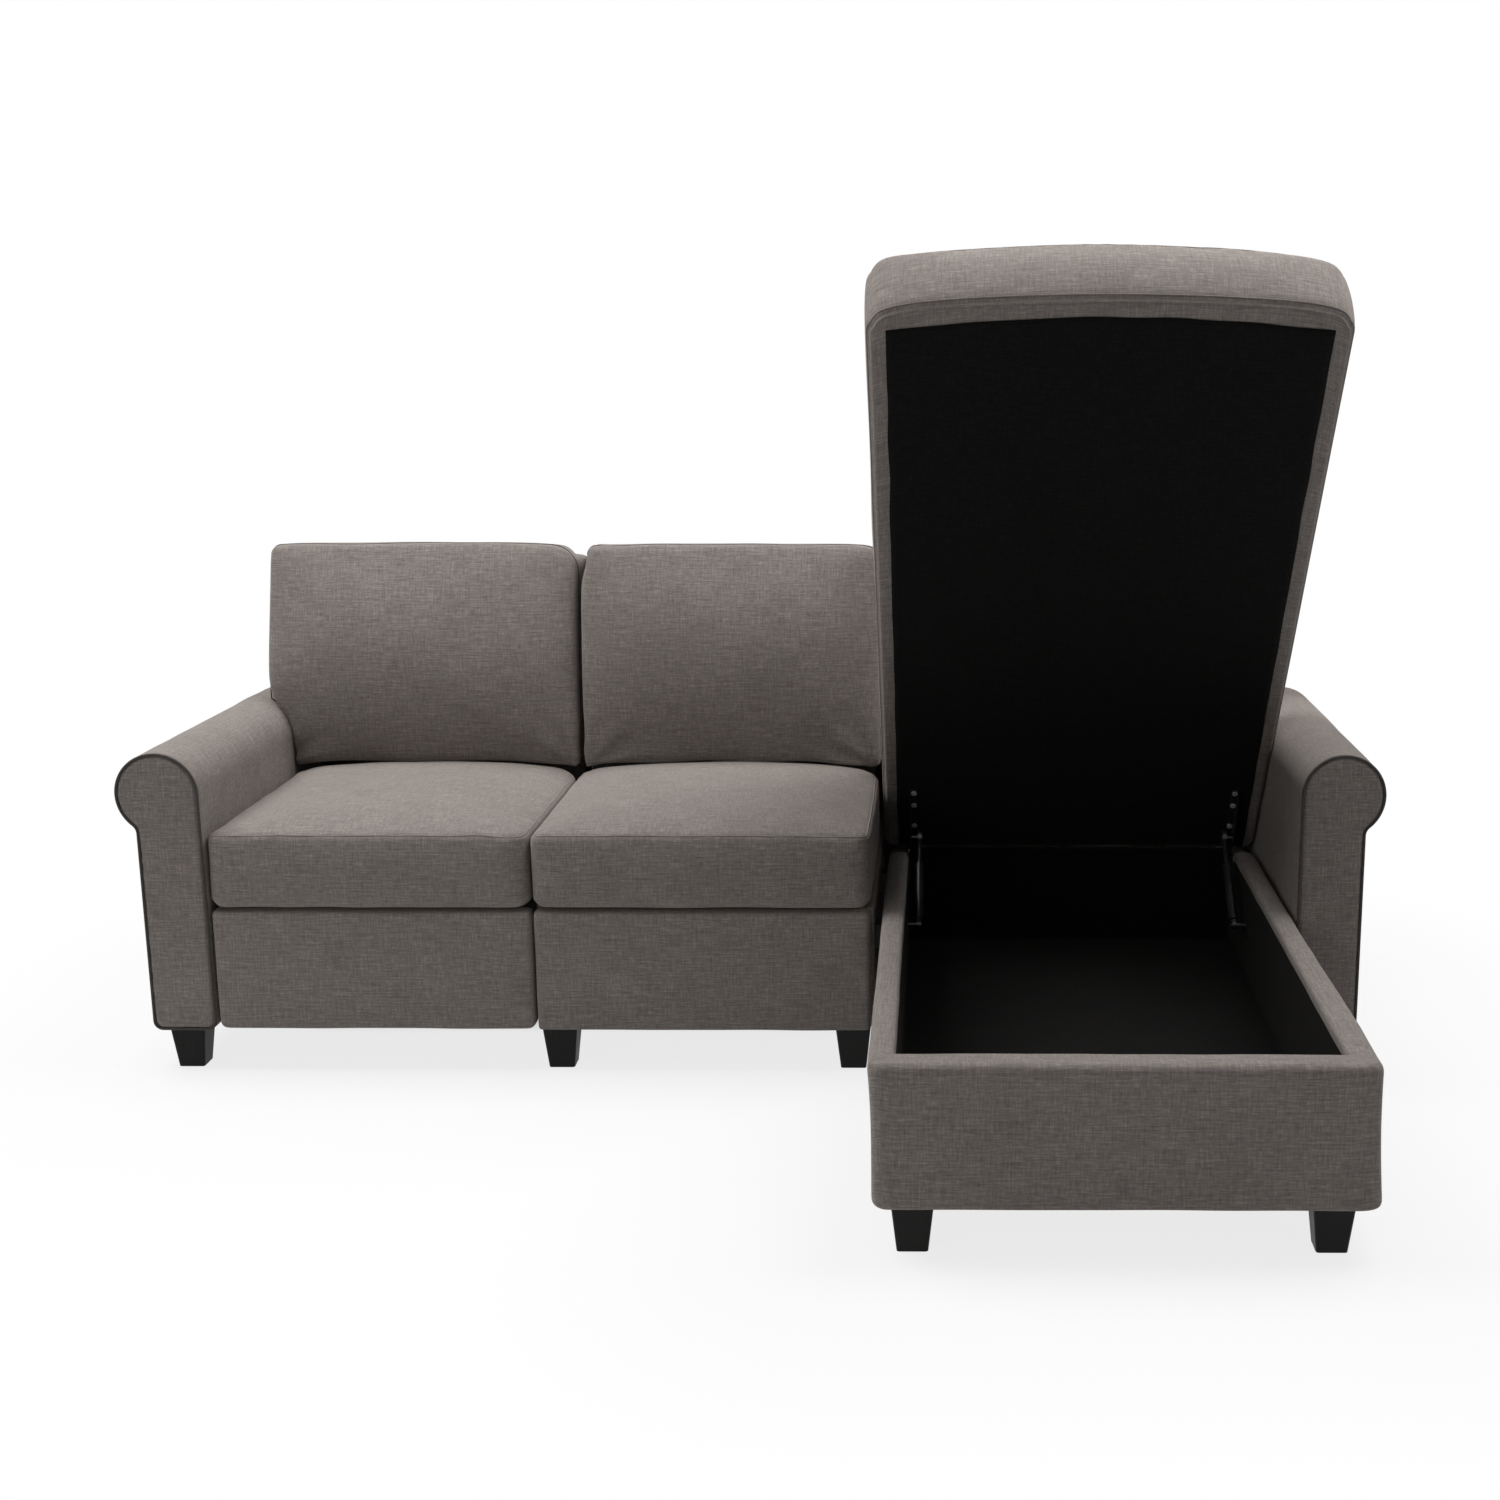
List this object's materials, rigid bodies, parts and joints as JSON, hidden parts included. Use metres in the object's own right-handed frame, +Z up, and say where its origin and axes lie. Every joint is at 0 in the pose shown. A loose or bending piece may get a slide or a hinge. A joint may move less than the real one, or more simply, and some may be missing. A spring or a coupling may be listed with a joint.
{
  "type": "reclining sectional sofa",
  "caption": "Sectional sofa with rolled arms, a reclining seat with folding footrest, a fixed seat and a storage chaise whose hinged lid is held up by gas struts.",
  "frame": {"origin": "on the floor, under the middle of the whole sofa's width and depth", "axes": "+X to the right seen from the front, along the row of seats towards the chaise; +Y to the back; +Z up"},
  "size_m": [2.26, 1.56, 1.4525],
  "materials": {
    "taupe_fabric": "matte",
    "dark_piping": "matte",
    "black_cloth": "matte",
    "black_lining": "satin",
    "frame_wood": "matte",
    "black_foot": "satin",
    "spring_steel": "satin",
    "mechanism_steel": "satin",
    "bright_steel": "satin",
    "hinge_steel": "satin",
    "screw_steel": "satin",
    "black_plastic": "satin"
  },
  "bodies": {
    "root": {"left_arm_cover": "taupe_fabric", "right_arm_cover": "taupe_fabric", "arm_facings": "taupe_fabric", "arm_piping": "dark_piping", "left_arm_frame": "frame_wood", "right_arm_frame": "frame_wood", "sofa_feet": "black_foot", "chaise_feet": "black_foot", "middle_seat_frame": "frame_wood", "middle_seat_springs": "spring_steel", "middle_dust_cover": "black_cloth", "middle_front_panel": "taupe_fabric", "middle_side_panel": "taupe_fabric", "middle_seat_cushion": "taupe_fabric", "middle_back_frame": "frame_wood", "middle_back_cushion": "taupe_fabric", "middle_outside_back": "taupe_fabric", "recliner_side_plates": "mechanism_steel", "recliner_plate_spacers": "mechanism_steel", "recliner_base_pins": "bright_steel", "recliner_rear_stretcher": "frame_wood", "recliner_rear_cover": "taupe_fabric", "recliner_seat_frame": "frame_wood", "recliner_seat_springs": "spring_steel", "recliner_seat_cushion": "taupe_fabric", "release_bezel": "black_plastic", "chaise_left_cover": "taupe_fabric", "chaise_right_cover": "taupe_fabric", "chaise_front_cover": "taupe_fabric", "chaise_box_boards": "frame_wood", "chaise_floor_board": "frame_wood", "chaise_lining": "black_lining", "chaise_back_frame": "frame_wood", "chaise_back_cushion": "taupe_fabric", "chaise_outside_back": "taupe_fabric", "lid_hinge_plates": "hinge_steel", "lid_hinge_pins": "bright_steel", "module_ties": "mechanism_steel"},
    "lid": {"lid_cushion": "taupe_fabric", "lid_board": "frame_wood", "lid_dust_cover": "black_cloth", "lid_hinge_brackets": "hinge_steel", "lid_strut_pins": "bright_steel", "lid_bracket_screws": "screw_steel"},
    "strut_cylinders": {"strut_cylinders": "hinge_steel"},
    "strut_rods": {"strut_rods": "bright_steel"},
    "recliner_back": {"recliner_back_frame": "frame_wood", "recliner_back_cushion": "taupe_fabric", "recliner_outside_back": "taupe_fabric", "recliner_back_brackets": "mechanism_steel"},
    "footrest_lower_links": {"footrest_lower_links": "mechanism_steel", "footrest_knee_shaft": "bright_steel"},
    "footrest_upper_links": {"footrest_upper_links": "mechanism_steel"},
    "footrest": {"footrest_brackets": "mechanism_steel", "footrest_toe_pins": "bright_steel", "footrest_board": "frame_wood", "footrest_pad": "taupe_fabric"},
    "release_lever": {"release_lever": "black_plastic", "release_shaft": "bright_steel"}
  },
  "joints": [
    {"name": "lid_hinge", "type": "hinge", "parent": "root", "child": "lid", "pos_m": [0.6035, 0.5, 0.292], "axis": [1, 0, 0], "range_deg": [0, 52.9]},
    {"name": "strut_swing", "type": "hinge", "parent": "root", "child": "strut_cylinders", "pos_m": [0.6035, 0.284, 0.2], "axis": [-1, 0, 0], "range_deg": [0, 9.05]},
    {"name": "strut_stroke", "type": "slide", "parent": "strut_cylinders", "child": "strut_rods", "axis": [0, -0.8028, -0.5962], "range_m": [0, 0.03819]},
    {"name": "recliner_back_tilt", "type": "hinge", "parent": "root", "child": "recliner_back", "pos_m": [-0.685, 0.7, 0.3], "axis": [-1, 0, 0], "range_deg": [0, 25]},
    {"name": "footrest_fold", "type": "hinge", "parent": "root", "child": "footrest_lower_links", "pos_m": [-0.685, 0.09, 0.255], "axis": [-1, 0, 0], "range_deg": [0, 133.3]},
    {"name": "footrest_knee", "type": "hinge", "parent": "footrest_lower_links", "child": "footrest_upper_links", "pos_m": [-0.685, 0.24162, 0.11703], "axis": [1, 0, 0], "range_deg": [0, 123.21]},
    {"name": "footrest_toe", "type": "hinge", "parent": "footrest_upper_links", "child": "footrest", "pos_m": [-0.685, 0.05, 0.19], "axis": [-1, 0, 0], "range_deg": [0, 79.91]},
    {"name": "release_lever_pull", "type": "hinge", "parent": "root", "child": "release_lever", "pos_m": [-1.097, 0.3, 0.262], "axis": [-1, 0, 0], "range_deg": [0, 30], "stiffness_Nm_per_rad": 1.5}
  ],
  "couplings": [
    {"joint": "strut_swing", "follows": "lid_hinge", "ratio": 0.17104},
    {"joint": "strut_stroke", "follows": "lid_hinge", "m_per_rad": 0.041359},
    {"joint": "footrest_knee", "follows": "footrest_fold", "ratio": 0.92423},
    {"joint": "footrest_toe", "follows": "footrest_fold", "ratio": 0.5994}
  ]
}
